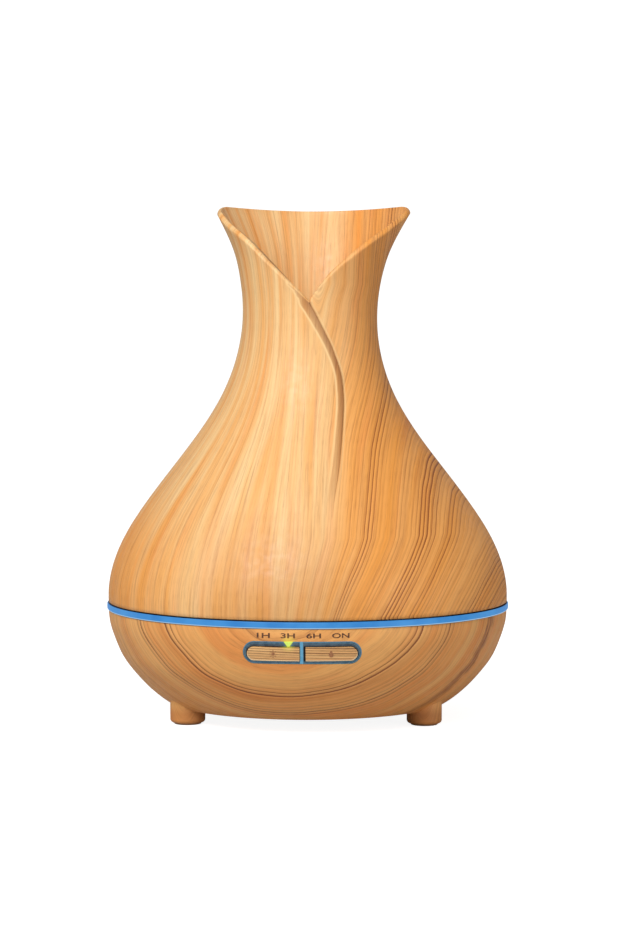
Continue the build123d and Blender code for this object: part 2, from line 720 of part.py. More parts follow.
def button_frame():
    """Translucent bezel round both buttons, with a flange behind the wall."""
    frame = panel_slot(0.0) & skin(-FRAME_DEPTH, -0.1)
    flange = front_prism(Pos(0, PANEL_HEIGHT) * SlotOverall(50.0, 9.8)) & skin(-FRAME_DEPTH, -SHELL_WALL - 0.1)
    frame += flange
    for side in (-1, 1):
        frame -= front_prism(button_face(side, FIT_GAP))
    return frame


def button(side):
    """Push button with a stop flange behind the bezel and a stem for its switch."""
    body = front_prism(button_face(side, 0.0)) & skin(-BUTTON_DEPTH, BUTTON_PROUD)
    stop = front_prism(button_face(side, 0.55)) & skin(-BUTTON_DEPTH, -FRAME_DEPTH - FIT_GAP)
    stem = rod(1.4, side * SWITCH_X, PANEL_HEIGHT + PANEL_SHIFT, -78.0, STEM_END)
    return body + stop + stem


def switch_body(side):
    """Tact switch on the button board."""
    x, z = side * SWITCH_X, PANEL_HEIGHT + PANEL_SHIFT
    case = block(x - 3.0, x + 3.0, SWITCH_FRONT, BUTTON_BOARD_FRONT, z - 2.2, z + 2.2)
    return case - rod(1.3, x, z, SWITCH_FRONT, BUTTON_BOARD_FRONT - 0.5)


def switch_plunger(side):
    return rod(1.3 - RUNNING_FIT, side * SWITCH_X, PANEL_HEIGHT + PANEL_SHIFT, STEM_END, STEM_END + 1.5)


def button_board():
    half = BUTTON_BOARD_HALF
    board = block(-half, half, BUTTON_BOARD_FRONT, BUTTON_BOARD_BACK, BUTTON_BOARD_LOW, BUTTON_BOARD_HIGH)
    for x in (-BUTTON_SCREW_X, BUTTON_SCREW_X):
        board -= rod(1.2, x, BUTTON_SCREW_Z, BUTTON_BOARD_FRONT, BUTTON_BOARD_BACK)
    return board


def button_board_screws():
    screws = []
    for x in (-BUTTON_SCREW_X, BUTTON_SCREW_X):
        head = rod(2.0, x, BUTTON_SCREW_Z, BUTTON_BOARD_BACK, BUTTON_BOARD_BACK + 1.3)
        cross = Box(2.4, 0.5, 0.6) + Box(0.6, 0.5, 2.4)
        head -= Pos(x, BUTTON_BOARD_BACK + 1.1, BUTTON_SCREW_Z) * cross
        screws.append(head + rod(0.9, x, BUTTON_SCREW_Z, -75.0, BUTTON_BOARD_BACK))
    return group(screws)


def indicator_leds():
    """Four lamps behind the top edge of the bezel, one under each timer mark."""
    lamps = []
    for x in LAMP_PLACES:
        lamp = block(x - 0.9, x + 0.9, BUTTON_BOARD_FRONT - 0.9, BUTTON_BOARD_FRONT, 39.0, 40.0)
        lamps.append(lamp)
    return group(lamps)


# ---------------------------------------------------------------- DC inlet
def dc_socket():
    body = block(-4.6, 4.6, 45.0, JACK_FACE, JACK_HEIGHT - 4.3, JACK_HEIGHT + 4.8)
    nose = rod(JACK_NOSE, 0, JACK_HEIGHT, JACK_FACE, JACK_FACE + 4.2)
    return body + nose - rod(JACK_BORE, 0, JACK_HEIGHT, 52.0, 70.0)


def dc_centre_pin():
    pin = rod(JACK_PIN, 0, JACK_HEIGHT, 52.0, 62.6)
    return fillet(pin.edges().filter_by(GeomType.CIRCLE).sort_by(Axis.Y)[-1], 0.3)


def dc_socket_nut():
    nut = Pos(0, JACK_FACE + JACK_WALL + 2.0, JACK_HEIGHT) * extrude(Plane.XZ * RegularPolygon(5.6, 6), 2.0)
    return nut - rod(JACK_NOSE + RUNNING_FIT, 0, JACK_HEIGHT, 55.0, 70.0)


# ---------------------------------------------------------------- all pieces
write("cover_shell", cover_shell())
write("mist_funnel", mist_funnel())

write("base_shell", base_shell())
write("foot_pads", foot_pads())
write("bottom_plate", bottom_plate())
write("housing_screws", housing_screws())

write("light_ring", light_ring())
write("ring_led_board", ring_led_board())
write("ring_leds", ring_leds())

write("water_tank", water_tank())
write("air_outlet_hood", air_outlet_hood())

write("ultrasonic_disc", ultrasonic_disc())
write("disc_seal", disc_seal())
write("disc_retainer", disc_retainer())
write("retainer_screws", retainer_screws())

write("fan_frame", fan_frame())
write("fan_bearing", fan_bearing())
write("fan_coil", fan_coil())
write("fan_rotor", fan_rotor())
write("air_duct", air_duct())
write("duct_gasket", duct_gasket())
write("fan_screws", fan_screws())

write("main_board", main_board())
write("board_screws", board_screws())
write("controller_chip", controller_chip())
write("power_inductor", power_inductor())
write("capacitors", capacitors())
write("heat_sink", heat_sink())
write("power_transistor", power_transistor())
write("wire_headers", wire_headers())

write("disc_lead", disc_lead())
write("fan_lead", fan_lead())
write("socket_lead", socket_lead())
write("button_lead", button_lead())
write("ring_led_lead", ring_led_lead())

write("button_frame", button_frame())
write("light_button", button(-1))
write("mist_button", button(1))
write("light_switch_body", switch_body(-1))
write("mist_switch_body", switch_body(1))
write("light_switch_plunger", switch_plunger(-1))
write("mist_switch_plunger", switch_plunger(1))
write("button_board", button_board())
write("button_board_screws", button_board_screws())
write("indicator_leds", indicator_leds())

write("dc_socket", dc_socket())
write("dc_centre_pin", dc_centre_pin())
write("dc_socket_nut", dc_socket_nut())
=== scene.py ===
import math
from bisect import bisect_right

import bmesh
import bpy
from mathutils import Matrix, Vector
from mathutils.bvhtree import BVHTree


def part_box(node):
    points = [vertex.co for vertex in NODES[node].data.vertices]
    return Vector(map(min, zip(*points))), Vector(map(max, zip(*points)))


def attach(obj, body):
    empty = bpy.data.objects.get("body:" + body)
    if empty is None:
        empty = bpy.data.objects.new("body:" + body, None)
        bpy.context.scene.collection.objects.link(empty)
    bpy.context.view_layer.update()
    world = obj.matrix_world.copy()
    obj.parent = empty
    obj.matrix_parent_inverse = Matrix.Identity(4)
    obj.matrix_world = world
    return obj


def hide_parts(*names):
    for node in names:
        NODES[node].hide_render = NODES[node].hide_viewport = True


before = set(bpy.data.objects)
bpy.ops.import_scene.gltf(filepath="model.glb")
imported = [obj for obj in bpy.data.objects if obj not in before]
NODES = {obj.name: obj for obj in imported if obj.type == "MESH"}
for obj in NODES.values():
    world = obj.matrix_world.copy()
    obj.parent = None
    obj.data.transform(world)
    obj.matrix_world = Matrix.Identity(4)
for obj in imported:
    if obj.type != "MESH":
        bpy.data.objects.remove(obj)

# Aroma diffuser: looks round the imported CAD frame. Lengths below are in millimetres unless a
# name says otherwise, and are turned into Blender's metres by MM. Azimuths are in degrees,
# 0 at the button panel (-Y) and growing towards +X.
MM = 0.001

for spare in ("Cube", "Light", "Camera"):
    if spare in bpy.data.objects:
        bpy.data.objects.remove(bpy.data.objects[spare])
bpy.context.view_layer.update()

# ---------------------------------------------------------------- driving values
CAMERA_AZIMUTH = 1.5
CAMERA_DISTANCE = 1058.6
CAMERA_HEIGHT = 156.65
CAMERA_PITCH = 2.8
CAMERA_SIDESTEP = 0.96
CAMERA_LENS_MM = 97.86
CAMERA_SENSOR_MM = 36.0

PROFILE_HEIGHTS = range(50, 211, 2)   # where the cover's profile is read from the CAD
WALL = 2.2                   # cover wall
LEAN = 2.5                   # the mouth leans this far towards +X
LEAN_START = 110.0
FLARE = 1.3                  # the petals' tips turn out a little more than the plain profile
FLARE_START = 190.0

# Rim of the mouth, as (azimuth from the notch round to the notch, height)
RIM = [
    (0.3, 173.2), (8.0, 178.6), (15.5, 183.4), (25.0, 188.2), (36.5, 193.2), (46.5, 197.4),
    (59.0, 201.8), (74.0, 206.9), (91.5, 211.0), (116.5, 213.0), (181.5, 212.2), (245.0, 213.0),
    (271.5, 210.2), (284.0, 206.3), (303.5, 200.8), (329.5, 188.4), (345.5, 180.6), (353.0, 177.0),
    (360.3, 173.2),
]
# Crease of the lap, as (height, x)
CREASE = [
    (49.0, 8.5), (79.0, 10.2), (94.8, 12.2), (108.0, 13.9), (120.0, 14.7), (130.0, 15.0), (141.1, 14.1),
    (152.7, 10.4), (163.3, 5.2), (168.0, 2.6), (173.2, 0.1), (215.0, 0.1),
]
# Height of the lap's step, as (height on the cover, step)
STEP = [(49.0, 0.0), (84.0, 0.0), (100.0, 0.5), (125.0, 1.1), (150.0, 1.6), (215.0, 1.8)]
# Width of the left petal's rounded edge, as (height, width)
EDGE = [
    (49.0, 3.0), (100.0, 2.8), (128.0, 2.6), (150.0, 2.9), (163.0, 3.2), (173.2, 3.6), (175.5, 4.8),
    (178.1, 6.3), (180.6, 8.4), (215.0, 8.4),
]
LIP_SHARE = 0.35             # share of the step that drops straight at the crease
EDGE_FADE = 46.0             # the left petal thins back to the wall over this arc
SLANT = 0.004                # how fast the right petal's grain turns with height, from SLANT_START up
SLANT_START = 110.0
SLANT_SPAN = 70.0
SLANT_REACH = 0.25           # the turn fades out over this share of the way round
TUCK_DEPTH = 0.35            # the right petal dips behind the edge
TUCK_WIDTH = 5.0
CREASE_SHADE = 0.8           # width of the shade on the far side of the crease
HARD_CREASE_START = 100.0    # the crease shows as a hard edge from here up
OUTER_START = 0.25           # the outer skin starts this far above the cover's lower edge,
INNER_START = 4.0            # and the inner skin this far
# Ring under the cover that centres it on the basin, as (radius, height) from the inside out
SPIGOT = [
    (79.4, 52.8), (79.2, 52.4), (79.2, 48.7), (79.4, 48.5), (80.2, 48.5), (80.4, 48.7), (80.5, 50.4),
    (81.2, 50.4), (81.3, 48.6), (81.5, 48.35), (83.1, 48.3),
]

RING_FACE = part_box("light_ring")[1].x / MM
RING_LOW_EDGE = 45.3
PANEL_Z = 35.7
PANEL_HALF = 18.6            # half the distance between the middles of the panel's round ends
BEZEL_RADIUS = 4.4           # outer radius of the round ends
BUTTON_REACH = (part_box("light_button")[1].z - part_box("light_button")[0].z) / MM / 2
MARK_BASE = 41.65
MARK_TOP = 43.6
MARKS = {"1H": (-17.6, -12.5), "3H": (-8.2, -2.7), "6H": (1.7, 7.4), "ON": (11.7, 18.4)}
LIT_LAMP_X = -5.3
LIT_LAMP_Z = 39.6
FILM_GAP = 0.06              # printed films lie this far off the surface
FILM_THICKNESS = 0.05
FILM_EDGE = 0.8              # longer edges of a film are cut, so that it follows the surface

SKY = 0.32                   # strength of the white sky
KEY_SHARE = 1.15             # light on the brightest part of the shoulder, in units of a white sky
STAGE_HALF = 6.0             # metres
DOME_RADIUS = 5.9            # metres

GROWTH_AZIMUTH = 84.0        # the cover's growth rings are planes facing this azimuth
MERIDIAN_PITCH = 60.0        # on the far side they turn into meridians, this many mm to a radian
FOOT_BEND_TOP = 80.0         # below this height the rings bend towards the front
FOOT_BEND_SPAN = 31.0
FOOT_BEND = 13.0
BASE_TILT = -0.22            # how the base's growth planes lean with height
BASE_SKEW = 0.06             # and sideways
VEIN_FIELD = -37.5           # place of the dark vein in the base's growth
PINK_BLUSH = (1.0, 0.82, 0.78, 1.0)
LAMP_LIGHT = (0.45, 0.62, 0.03, 1.0)


# ---------------------------------------------------------------- small tools
def through(points):
    """Smooth function through (place, value) points that never overshoots them."""
    places = [p for p, _ in points]
    values = [v for _, v in points]
    slopes = [
        (values[i + 1] - values[i]) / (places[i + 1] - places[i]) for i in range(len(points) - 1)
    ]
    tangents = [slopes[0]]
    for a, b in zip(slopes, slopes[1:]):
        tangents.append(0.0 if a * b <= 0 else 2 * a * b / (a + b))
    tangents.append(slopes[-1])

    def value(place):
        place = min(max(place, places[0]), places[-1])
        i = min(bisect_right(places, place), len(places) - 1) - 1
        span = places[i + 1] - places[i]
        t = (place - places[i]) / span
        return (
            values[i] * (1 + 2 * t) * (1 - t) ** 2
            + tangents[i] * span * t * (1 - t) ** 2
            + values[i + 1] * t * t * (3 - 2 * t)
            - tangents[i + 1] * span * t * t * (1 - t)
        )

    return value


def smoothstep(low, high, x):
    """Smooth step from 0 to 1 as x goes from low to high."""
    t = min(max((x - low) / (high - low), 0.0), 1.0)
    return t * t * (3 - 2 * t)


def surface_of(node):
    """Ray-casting tree of a CAD node, in metres."""
    mesh = NODES[node].data
    return BVHTree.FromPolygons([v.co for v in mesh.vertices], [p.vertices for p in mesh.polygons])


def add_object(name, mesh, body, material, smooth=True):
    """Puts a mesh in the scene as a piece that rides on a body."""
    piece = bpy.data.objects.new(name, mesh)
    bpy.context.scene.collection.objects.link(piece)
    mesh.materials.append(material)
    for polygon in mesh.polygons:
        polygon.use_smooth = smooth
    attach(piece, body)
    return piece


def tone(red, green, blue, light=1.0):
    """Linear colour of a screen colour, divided by the light that falls on it."""
    linear = []
    for channel in (red, green, blue):
        c = channel / 255
        linear.append((c / 12.92 if c <= 0.04045 else ((c + 0.055) / 1.055) ** 2.4) / light)
    return (*linear, 1.0)


def lit_tone(red, green, blue):
    """Colour of a printed surface that shows as this screen colour under the key light."""
    return tone(red, green, blue, KEY_SHARE)


# ---------------------------------------------------------------- node trees
class Shader:
    """A material's node tree, written as values passed from call to call. Places are in millimetres."""

    def __init__(self, name):
        self.material = bpy.data.materials.new(name)
        self.material.use_nodes = True
        tree = self.material.node_tree
        self.nodes = tree.nodes
        self.links = tree.links
        self.nodes.clear()
        output = self.nodes.new("ShaderNodeOutputMaterial")
        self.surface = self.nodes.new("ShaderNodeBsdfPrincipled")
        self.links.new(self.surface.outputs[0], output.inputs["Surface"])
        coordinates = self.nodes.new("ShaderNodeTexCoord").outputs["Object"]
        self.place = self.vector("SCALE", coordinates, scale=1 / MM)

    def feed(self, socket, value):
        if isinstance(value, bpy.types.NodeSocket):
            self.links.new(value, socket)
        else:
            socket.default_value = value

    def set(self, **inputs):
        """Sets or links inputs of the surface, named with _ for a space."""
        for name, value in inputs.items():
            self.feed(self.surface.inputs[name.replace("_", " ")], value)

    def math(self, operation, *values, clamp=False):
        node = self.nodes.new("ShaderNodeMath")
        node.operation = operation
        node.use_clamp = clamp
        for socket, value in zip(node.inputs, values):
            self.feed(socket, value)
        return node.outputs[0]

    def vector(self, operation, *values, scale=None):
        node = self.nodes.new("ShaderNodeVectorMath")
        node.operation = operation
        for socket, value in zip(node.inputs, values):
            self.feed(socket, value)
        if scale is not None:
            self.feed(node.inputs["Scale"], scale)
        return node.outputs["Value" if operation in ("LENGTH", "DISTANCE") else "Vector"]

    def parts(self, vector):
        node = self.nodes.new("ShaderNodeSeparateXYZ")
        self.feed(node.inputs[0], vector)
        return tuple(node.outputs)

    def join(self, x, y, z):
        node = self.nodes.new("ShaderNodeCombineXYZ")
        for socket, value in zip(node.inputs, (x, y, z)):
            self.feed(socket, value)
        return node.outputs[0]

    def noise(self, vector, scale, detail=2.0, roughness=0.5):
        node = self.nodes.new("ShaderNodeTexNoise")
        self.feed(node.inputs["Vector"], vector)
        node.inputs["Scale"].default_value = scale
        node.inputs["Detail"].default_value = detail
        node.inputs["Roughness"].default_value = roughness
        return node.outputs[0]

    def cells(self, vector, scale, feature="F1"):
        node = self.nodes.new("ShaderNodeTexVoronoi")
        node.feature = feature
        self.feed(node.inputs["Vector"], vector)
        node.inputs["Scale"].default_value = scale
        return node.outputs["Distance"]

    def mesh_value(self, name):
        """A value stored on the mesh, 0 where the mesh has none."""
        node = self.nodes.new("ShaderNodeAttribute")
        node.attribute_name = name
        return node.outputs["Fac"]

    def chance(self, number):
        """A steady random value for a whole number."""
        node = self.nodes.new("ShaderNodeTexWhiteNoise")
        node.noise_dimensions = "1D"
        self.feed(node.inputs["W"], number)
        return node.outputs["Value"]

    def span(self, value, low, high, to_low=0.0, to_high=1.0):
        """Smooth step from to_low to to_high as value goes from low to high."""
        node = self.nodes.new("ShaderNodeMapRange")
        node.interpolation_type = "SMOOTHSTEP"
        for name, number in zip(
            ("Value", "From Min", "From Max", "To Min", "To Max"), (value, low, high, to_low, to_high)
        ):
            self.feed(node.inputs[name], number)
        return node.outputs[0]

    def mix(self, factor, first, second, blend="MIX"):
        node = self.nodes.new("ShaderNodeMix")
        node.data_type = "RGBA"
        node.blend_type = blend
        self.feed(node.inputs[0], factor)
        self.feed(node.inputs[6], first)
        self.feed(node.inputs[7], second)
        return node.outputs[2]

    def bump(self, height, depth_mm):
        """Relief of a height from 0 to 1 that is depth_mm high at 1."""
        node = self.nodes.new("ShaderNodeBump")
        node.inputs["Strength"].default_value = 1.0
        node.inputs["Distance"].default_value = depth_mm * MM
        self.feed(node.inputs["Height"], height)
        self.feed(self.surface.inputs["Normal"], node.outputs[0])


# ---------------------------------------------------------------- wood print
def cover_growth(shader):
    """Growth field of the cover's print in millimetres, and the height along it."""
    x, y, z = shader.parts(shader.place)
    turn = math.radians(GROWTH_AZIMUTH)
    plane = shader.math(
        "SUBTRACT",
        shader.math("MULTIPLY", x, math.sin(turn)),
        shader.math("MULTIPLY", y, math.cos(turn)),
    )
    flat = shader.vector("LENGTH", shader.join(x, y, 0.0))
    direction = shader.math("DIVIDE", plane, shader.math("MAXIMUM", flat, 1.0))
    meridian = shader.math("MULTIPLY", shader.math("ARCSINE", direction), MERIDIAN_PITCH)
    sunk = shader.math("DIVIDE", shader.math("SUBTRACT", FOOT_BEND_TOP, z), FOOT_BEND_SPAN, clamp=True)
    bend = shader.math("MULTIPLY", shader.math("POWER", sunk, 1.3), FOOT_BEND)
    plane = shader.math("ADD", plane, bend)
    risen = shader.math("MAXIMUM", shader.math("SUBTRACT", z, SLANT_START), 0.0)
    risen = shader.math("MINIMUM", risen, SLANT_SPAN)
    slant = shader.math("MULTIPLY", shader.math("MULTIPLY", risen, risen), SLANT)
    slant = shader.math("MULTIPLY", slant, shader.mesh_value("right_petal"))
    plane = shader.math("SUBTRACT", plane, slant)
    share = shader.span(direction, -0.1, 0.35)
    field = shader.math(
        "ADD",
        shader.math("MULTIPLY", meridian, shader.math("SUBTRACT", 1.0, share)),
        shader.math("MULTIPLY", plane, share),
    )
    return field, z


def base_growth(shader):
    """Growth field of the base's print: level planes facing the panel, so that rings show as arcs."""
    x, y, z = shader.parts(shader.place)
    tilt = shader.math("MULTIPLY", z, BASE_TILT)
    skew = shader.math("MULTIPLY", x, BASE_SKEW)
    return shader.math("ADD", y, shader.math("ADD", tilt, skew)), x


def button_growth(shader):
    """Growth field of the buttons' print: nearly level lines."""
    x, _, z = shader.parts(shader.place)
    return shader.math("ADD", z, shader.math("MULTIPLY", x, 0.02)), x


def ring_lines(shader, field, spacing, sharpness):
    """Dark latewood lines: each ring darkens slowly and ends at once, and no two are as dark."""
    count = shader.math("DIVIDE", field, spacing)
    within = shader.math("FRACT", count)
    strength = shader.math("MULTIPLY_ADD", shader.chance(shader.math("FLOOR", count)), 0.65, 0.35)
    return shader.math("MULTIPLY", shader.math("POWER", within, sharpness), strength)


def lamp_spill(shader):
    """How much of the lit lamp's light falls on a place, from 0 to 1."""
    x, y, z = shader.parts(shader.place)
    away = shader.vector("DISTANCE", shader.join(x, 0.0, z), (LIT_LAMP_X, 0.0, LIT_LAMP_Z))
    spill = shader.span(away, 5.0, 0.8)
    in_front = shader.span(y, -60.0, -75.0)
    return shader.math("MULTIPLY", shader.math("MULTIPLY", spill, spill), in_front)


def wood(
    name, growth, palette, fine, coarse, clusters=(), wander=2.0, stretch=0.3, lines=1.0, dense=None,
    tints=(), over=(),
):
    """Printed wood grain, with painted shade and painted highlight along the cover's lap.

    palette: the light, dark and vein tones
    fine, coarse: spacings of the rings
    clusters: (field, half width, strength) where dark rings crowd
    wander, stretch: how far the rings stray, and how quickly that changes with height
    lines: strength of all rings
    dense: function for how crowded the fine rings are
    tints, over: (function, tone) where the ground takes another tone, below or over the lines; several of
    these are painted shade or painted highlight
    """
    light, dark, vein = palette
    shader = Shader(name)
    field, along = growth(shader)
    squeezed = shader.vector("MULTIPLY", shader.place, (1.0, 1.0, stretch))
    drift = shader.math("SUBTRACT", shader.noise(squeezed, 0.014, 2.0), 0.5)
    ripple = shader.math("SUBTRACT", shader.noise(squeezed, 0.07, 1.0), 0.5)
    field = shader.math("ADD", field, shader.math("MULTIPLY", drift, wander * 2))
    field = shader.math("ADD", field, shader.math("MULTIPLY", ripple, wander * 0.3))

    bands = shader.noise(shader.join(field, shader.math("MULTIPLY", along, 0.05), 0.0), 0.13, 2.0, 0.6)
    groups = shader.noise(shader.join(field, shader.math("MULTIPLY", along, 0.02), 40.0), 0.1, 1.0)
    fibre = shader.noise(shader.join(field, shader.math("MULTIPLY", along, 0.025), 7.0), 1.4, 3.0, 0.7)
    pores = shader.noise(shader.join(field, shader.math("MULTIPLY", along, 0.05), 3.0), 4.0, 1.0)
    blush = shader.noise(shader.join(field, shader.math("MULTIPLY", along, 0.1), 19.0), 0.2, 2.0)
    fine_lines = ring_lines(shader, field, fine, 3.0)
    coarse_lines = ring_lines(shader, field, coarse, 10.0)
    crowd = shader.span(groups, 0.4, 0.62, 0.15 * lines, 0.75 * lines)
    if dense is not None:
        crowd = shader.math("MULTIPLY", crowd, dense(shader))
    for centre, half, strength in clusters:
        away = shader.math("ABSOLUTE", shader.math("SUBTRACT", field, centre))
        crowd = shader.math("MAXIMUM", crowd, shader.span(away, half, half * 0.4, 0.0, strength))
    darkness = shader.math("MULTIPLY", fine_lines, crowd)
    darkness = shader.math("ADD", darkness, shader.math("MULTIPLY", coarse_lines, 0.36 * lines))
    darkness = shader.math("ADD", darkness, shader.span(fibre, 0.42, 0.78, 0.0, 0.36 * lines))
    darkness = shader.math("ADD", darkness, shader.span(pores, 0.5, 0.8, 0.0, 0.2), clamp=True)

    ground = shader.mix(shader.span(bands, 0.3, 0.74), light, dark)
    for where, tint in tints:
        ground = shader.mix(where(shader), ground, tint)
    ground = shader.mix(shader.span(blush, 0.48, 0.72, 0.0, 0.45), ground, PINK_BLUSH, "MULTIPLY")
    colour = shader.mix(shader.math("MULTIPLY", darkness, 0.9), ground, vein)
    # Painted shade in the lap's crease and painted highlight lines along its edges, read from the mesh.
    colour = shader.mix(shader.mesh_value("lap_shade"), colour, vein)
    colour = shader.mix(shader.mesh_value("lap_highlight"), colour, light)
    for where, tint in over:
        colour = shader.mix(where(shader), colour, tint)
    polish = shader.noise(shader.place, 0.35, 3.0)
    shader.set(
        Base_Color=colour,
        Roughness=shader.span(polish, 0.3, 0.7, 0.42, 0.56),
        Specular_IOR_Level=0.4,
    )
    sunk = shader.math("MULTIPLY", darkness, -0.6)
    shader.bump(shader.math("ADD", sunk, shader.math("MULTIPLY", pores, 0.4)), 0.03)
    return shader


def add_spill(shader, strength):
    """Light of the lit lamp on the print around it."""
    shader.set(Emission_Color=LAMP_LIGHT)
    shader.feed(
        shader.surface.inputs["Emission Strength"], shader.math("MULTIPLY", lamp_spill(shader), strength)
    )


def low_front_shade(shader):
    """Painted shade on the front of the cover's foot, deeper towards its lower edge."""
    x, _, z = shader.parts(shader.place)
    front = shader.span(shader.math("ABSOLUTE", shader.math("ADD", x, 4.0)), 52.0, 8.0)
    return shader.math("MULTIPLY", shader.span(z, 96.0, 58.0, 0.0, 0.5), front)


def far_left_shade(shader):
    """Painted shade on the cover's left flank: a deeper orange towards its foot."""
    x, _, z = shader.parts(shader.place)
    return shader.math("MULTIPLY", shader.span(x, -42.0, -74.0, 0.0, 0.6), shader.span(z, 110.0, 70.0))


def right_side_tone_and_shade(shader):
    """The cover's right petal and the foot below it: a deeper orange, partly the print's own tone and
    partly painted shade on the side away from the key light.
    """
    x = shader.parts(shader.place)[0]
    return shader.span(x, 2.0, 26.0, 0.0, 0.7)


def right_density(shader):
    """Rings crowd on the cover's right half."""
    x = shader.parts(shader.place)[0]
    return shader.span(x, 6.0, 40.0, 0.2, 1.6)


def cover_wood():
    palette = (lit_tone(253, 212, 151), lit_tone(246, 174, 94), lit_tone(134, 62, 20))
    # A deep orange, used as painted shade on the left flank and partly as painted shade on the right side.
    deep_orange_shade = lit_tone(246, 158, 58)
    clusters = ((33.0, 3.2, 2.0), (55.0, 5.5, 2.0), (-86.0, 3.0, 1.4))
    # Painted shade on the front of the foot and on the left flank, and partly on the right side.
    tints = ((low_front_shade, lit_tone(202, 134, 60)), (right_side_tone_and_shade, deep_orange_shade), (far_left_shade, deep_orange_shade))
    return wood(
        "wood_print_cover", cover_growth, palette, 1.45, 5.2, clusters=clusters, dense=right_density,
        tints=tints,
    ).material


def knot_shade(shader):
    """A dark vein that runs down the right of the base from below the light ring."""
    x, _, z = shader.parts(shader.place)
    field = base_growth(shader)[0]
    drift = shader.math("MULTIPLY", shader.noise(shader.place, 0.12, 2.0), 7.0)
    away = shader.math("ABSOLUTE", shader.math("SUBTRACT", shader.math("ADD", field, drift), VEIN_FIELD))
    streak = shader.noise(shader.join(field, shader.math("MULTIPLY", z, 0.05), 0.0), 1.3, 2.0)
    streaks = shader.span(streak, 0.3, 0.6, 0.25, 0.75)
    strength = shader.math("MULTIPLY", shader.span(away, 4.2, 0.6), streaks)
    side = shader.span(x, 20.0, 62.0)
    return shader.math("MULTIPLY", strength, side)


def feet(shader):
    """Painted shade on the feet under the base, darker towards the floor."""
    z = shader.parts(shader.place)[2]
    return shader.span(z, 9.0, 4.0, 0.0, 0.8)


def base_wood():
    # The base's tones are darker than the cover's: partly its own print, partly painted shade for its
    # downward-facing sides.
    palette = (lit_tone(250, 188, 112), lit_tone(240, 156, 78), lit_tone(120, 50, 20))
    clusters = ((-92.0, 1.6, 0.9), (-75.3, 2.2, 2.2), (-65.0, 2.2, 1.6), (30.0, 5.0, 1.5))
    shader = wood(
        "wood_print_base", base_growth, palette, 1.7, 9.0, clusters=clusters, wander=3.4, stretch=1.0,
        lines=0.65, tints=((feet, lit_tone(206, 134, 70)), (knot_shade, lit_tone(120, 52, 24))),
    )
    add_spill(shader, 0.5)
    return shader.material


def panel_reach(shader):
    """Distance from the middle line of the button panel, seen from the front."""
    x, _, z = shader.parts(shader.place)
    sideways = shader.math("SUBTRACT", shader.math("ABSOLUTE", x), PANEL_HALF)
    sideways = shader.math("MAXIMUM", sideways, 0.0)
    return shader.vector("LENGTH", shader.join(sideways, shader.math("SUBTRACT", z, PANEL_Z), 0.0))


def button_edge_highlight(shader):
    """Painted highlight on the edge of the buttons, where the light catches it."""
    return shader.span(panel_reach(shader), BUTTON_REACH - 0.7, BUTTON_REACH - 0.3, 0.0, 0.8)


def divider_shadow(shader):
    """Painted shadow of the divider on the mist button's end."""
    x = shader.parts(shader.place)[0]
    return shader.math("MULTIPLY", shader.span(x, 0.0, 0.2), shader.span(x, 1.55, 1.25))


def button_wood():
    palette = (lit_tone(255, 206, 140), lit_tone(236, 168, 98), lit_tone(110, 58, 28))
    shader = wood(
        "wood_print_button", button_growth, palette, 1.0, 2.4, clusters=((PANEL_Z, 8.0, 1.6),), wander=0.5,
        stretch=1.0, lines=1.3,
        over=((button_edge_highlight, lit_tone(255, 222, 176)), (divider_shadow, tone(34, 28, 26))),
    )
    add_spill(shader, 0.5)
    return shader.material


# ---------------------------------------------------------------- other materials
def moulded(name, colour, roughness=0.45, mottle=0.06, grain=0.9, depth=0.02):
    """Moulded plastic or rubber: a fine spark-eroded texture with slow changes of tone."""
    shader = Shader(name)
    speck = shader.noise(shader.place, grain, 3.0, 0.6)
    cloud = shader.noise(shader.place, 0.07, 2.0)
    specks = shader.math("MULTIPLY", speck, mottle)
    shade = shader.math("MULTIPLY_ADD", cloud, mottle * 2, specks, clamp=True)
    darker = tuple(c * 0.72 for c in colour[:3]) + (1.0,)
    shader.set(
        Base_Color=shader.mix(shade, colour, darker),
        Roughness=shader.span(speck, 0.25, 0.75, roughness - 0.07, roughness + 0.08),
    )
    shader.bump(speck, depth)
    return shader.material


def metal(name, colour, roughness=0.32, brushed=4.0):
    """Bare metal with turning marks, smudges and a darker tarnish."""
    shader = Shader(name)
    x, y, z = shader.parts(shader.place)
    drawn = shader.join(shader.math("MULTIPLY", x, 0.4), y, shader.math("MULTIPLY", z, 3.0))
    marks = shader.noise(drawn, brushed, 2.0)
    smudge = shader.noise(shader.place, 0.3, 3.0)
    dull = tuple(c * 0.6 for c in colour[:3]) + (1.0,)
    shader.set(
        Base_Color=shader.mix(shader.span(smudge, 0.4, 0.8), colour, dull),
        Metallic=1.0,
        Roughness=shader.span(marks, 0.2, 0.8, roughness - 0.1, roughness + 0.15),
    )
    shader.bump(marks, 0.01)
    return shader.material


def circuit_board():
    """Green solder mask over copper tracks, with plated holes."""
    shader = Shader("circuit_board")
    tracks = shader.nodes.new("ShaderNodeTexBrick")
    shader.feed(tracks.inputs["Vector"], shader.place)
    tracks.inputs["Scale"].default_value = 0.3
    tracks.inputs["Mortar Size"].default_value = 0.09
    holes = shader.cells(shader.place, 0.28)
    mask = shader.mix(tracks.outputs["Fac"], tone(16, 78, 48), tone(34, 112, 66))
    plated = shader.span(holes, 0.1, 0.16)
    shader.set(
        Base_Color=shader.mix(plated, tone(206, 190, 150), mask),
        Roughness=shader.span(shader.noise(shader.place, 1.0), 0.3, 0.7, 0.25, 0.42),
    )
    shader.bump(tracks.outputs["Fac"], 0.03)
    return shader.material


